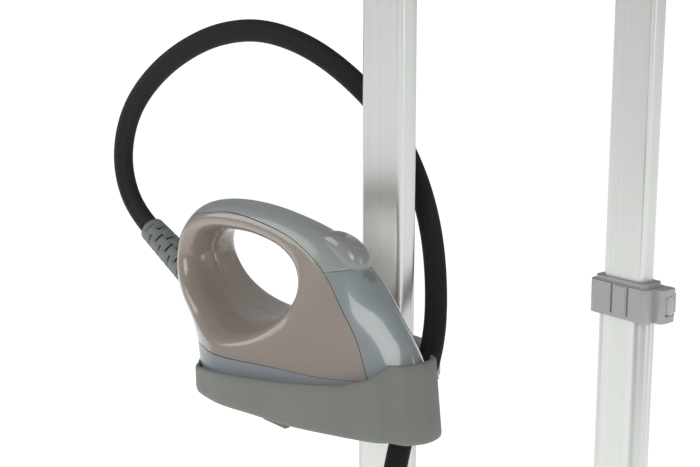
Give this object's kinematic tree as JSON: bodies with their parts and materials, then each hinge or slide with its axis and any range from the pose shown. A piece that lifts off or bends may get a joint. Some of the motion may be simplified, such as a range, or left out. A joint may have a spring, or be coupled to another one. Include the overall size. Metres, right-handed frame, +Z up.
{
  "type": "ironing board",
  "caption": "Upright steam-ironing station: tilting board on two flat telescopic poles, a steam iron in a side cradle, and a wheeled base with boiler and lift-out water tank.",
  "frame": {"origin": "on the floor, midway between the two poles", "axes": "+Z up, +X from the left pole to the right one, -Y towards the user"},
  "size_m": [0.4335, 0.4128, 1.715],
  "materials": {
    "painted_shell": "moulded ABS, fine texture",
    "dark_plastic": "moulded nylon, matte",
    "cradle_plastic": "moulded glass-filled nylon, matte",
    "grey_plastic": "moulded ABS, satin",
    "taupe_gloss": "moulded ABS, high gloss",
    "grey_gloss": "moulded ABS, high gloss",
    "tank_clear": "tinted polycarbonate",
    "anodised": "satin anodised extrusion",
    "cast_aluminium": "die cast",
    "sole_steel": "polished",
    "steel": "zinc plated",
    "board_steel": "powder coated",
    "rubber": "moulded",
    "silicone": "moulded silicone",
    "hose_fabric": "woven polyester sleeve",
    "cover_fabric": "cotton with metallised coating",
    "pad_felt": "polyester felt",
    "lens": "clear acrylic",
    "board_green": "circuit board",
    "copper": "drawn tube"
  },
  "bodies": {
    "base": {"base_tray": "dark_plastic", "base_cover": "painted_shell", "front_feet": "rubber", "wheel_axle": "steel", "boiler": "cast_aluminium", "water_pump": "dark_plastic", "control_board": "board_green", "steam_line": "copper", "water_line": "silicone", "mains_inlet": "dark_plastic", "hose_socket": "dark_plastic", "pole_socket_left": "grey_plastic", "pole_socket_right": "grey_plastic", "socket_screws": "steel", "lower_tube_left": "anodised", "lower_tube_right": "anodised", "clamp_body_left": "grey_plastic", "clamp_body_right": "grey_plastic", "clamp_pins": "steel", "steam_hose": "hose_fabric", "iron_cradle": "cradle_plastic", "heat_mat": "silicone", "cradle_bracket": "cradle_plastic", "cradle_screws": "steel"},
    "upper_frame": {"upper_tube_left": "anodised", "upper_tube_right": "anodised", "cross_bar": "anodised", "pivot_head_left": "grey_plastic", "pivot_head_right": "grey_plastic"},
    "tilt_knob": {"tilt_knob": "dark_plastic"},
    "board": {"pivot_shaft": "steel", "board_brackets": "board_steel", "board_plate": "board_steel", "board_pad": "pad_felt", "board_cover": "cover_fabric"},
    "lever_left": {"clamp_lever_left": "grey_plastic"},
    "lever_right": {"clamp_lever_right": "grey_plastic"},
    "wheel_left": {"wheel_hub_left": "grey_plastic", "wheel_tyre_left": "rubber"},
    "wheel_right": {"wheel_hub_right": "grey_plastic", "wheel_tyre_right": "rubber"},
    "water_tank": {"tank_body": "tank_clear", "tank_valve": "dark_plastic"},
    "tank_lid": {"tank_lid": "grey_plastic"},
    "steam_dial": {"steam_dial": "grey_plastic"},
    "power_button": {"power_button": "grey_gloss"},
    "iron": {"iron_soleplate": "sole_steel", "steam_chamber": "cast_aluminium", "iron_skirt": "grey_gloss", "iron_panel_left": "taupe_gloss", "iron_panel_right": "taupe_gloss", "iron_top_strip": "grey_gloss", "iron_nose_cover": "grey_gloss", "indicator_lens": "lens", "steam_switch": "dark_plastic", "iron_steam_pipe": "copper", "hose_relief": "grey_plastic"},
    "steam_button": {"steam_button": "grey_gloss"}
  },
  "joints": [
    {"name": "height_slide", "type": "slide", "parent": "base", "child": "upper_frame", "axis": [0, 0, -1], "range_m": [0, 0.24]},
    {"name": "board_tilt", "type": "hinge", "parent": "upper_frame", "child": "board", "pos_m": [0, -0.034, 1.395], "axis": [1, 0, 0], "range_deg": [-90, 0]},
    {"name": "tilt_knob_turn", "type": "hinge", "parent": "upper_frame", "child": "tilt_knob", "pos_m": [0, -0.034, 1.395], "axis": [1, 0, 0], "range_deg": [0, 270]},
    {"name": "clamp_lever_left_turn", "type": "hinge", "parent": "base", "child": "lever_left", "pos_m": [-0.117, -0.031, 0.78], "axis": [0, 0, -1], "range_deg": [0, 110]},
    {"name": "clamp_lever_right_turn", "type": "hinge", "parent": "base", "child": "lever_right", "pos_m": [0.133, -0.031, 0.78], "axis": [0, 0, -1], "range_deg": [0, 110]},
    {"name": "wheel_left_spin", "type": "hinge", "parent": "base", "child": "wheel_left", "pos_m": [-0.154, 0.135, 0.032], "axis": [1, 0, 0], "continuous": true},
    {"name": "wheel_right_spin", "type": "hinge", "parent": "base", "child": "wheel_right", "pos_m": [0.154, 0.135, 0.032], "axis": [1, 0, 0], "continuous": true},
    {"name": "tank_lift", "type": "slide", "parent": "base", "child": "water_tank", "axis": [0, 0, 1], "range_m": [0, 0.2]},
    {"name": "tank_lid_hinge", "type": "hinge", "parent": "water_tank", "child": "tank_lid", "pos_m": [0, 0.0585, 0.2816], "axis": [1, 0, 0], "range_deg": [0, 95]},
    {"name": "steam_dial_turn", "type": "hinge", "parent": "base", "child": "steam_dial", "pos_m": [0, -0.1395, 0.1885], "axis": [0, -0.9117, 0.411], "range_deg": [0, 270]},
    {"name": "power_button_press", "type": "slide", "parent": "base", "child": "power_button", "axis": [0, 0.9117, -0.411], "range_m": [0, 0.003], "stiffness_N_per_m": 400},
    {"name": "iron_lift", "type": "slide", "parent": "base", "child": "iron", "axis": [0, 0.2419, 0.9703], "range_m": [0, 0.08], "deforming": ["steam_hose"]},
    {"name": "steam_button_press", "type": "slide", "parent": "iron", "child": "steam_button", "axis": [0, 0.5, -0.866], "range_m": [0, 0.003], "stiffness_N_per_m": 400}
  ]
}
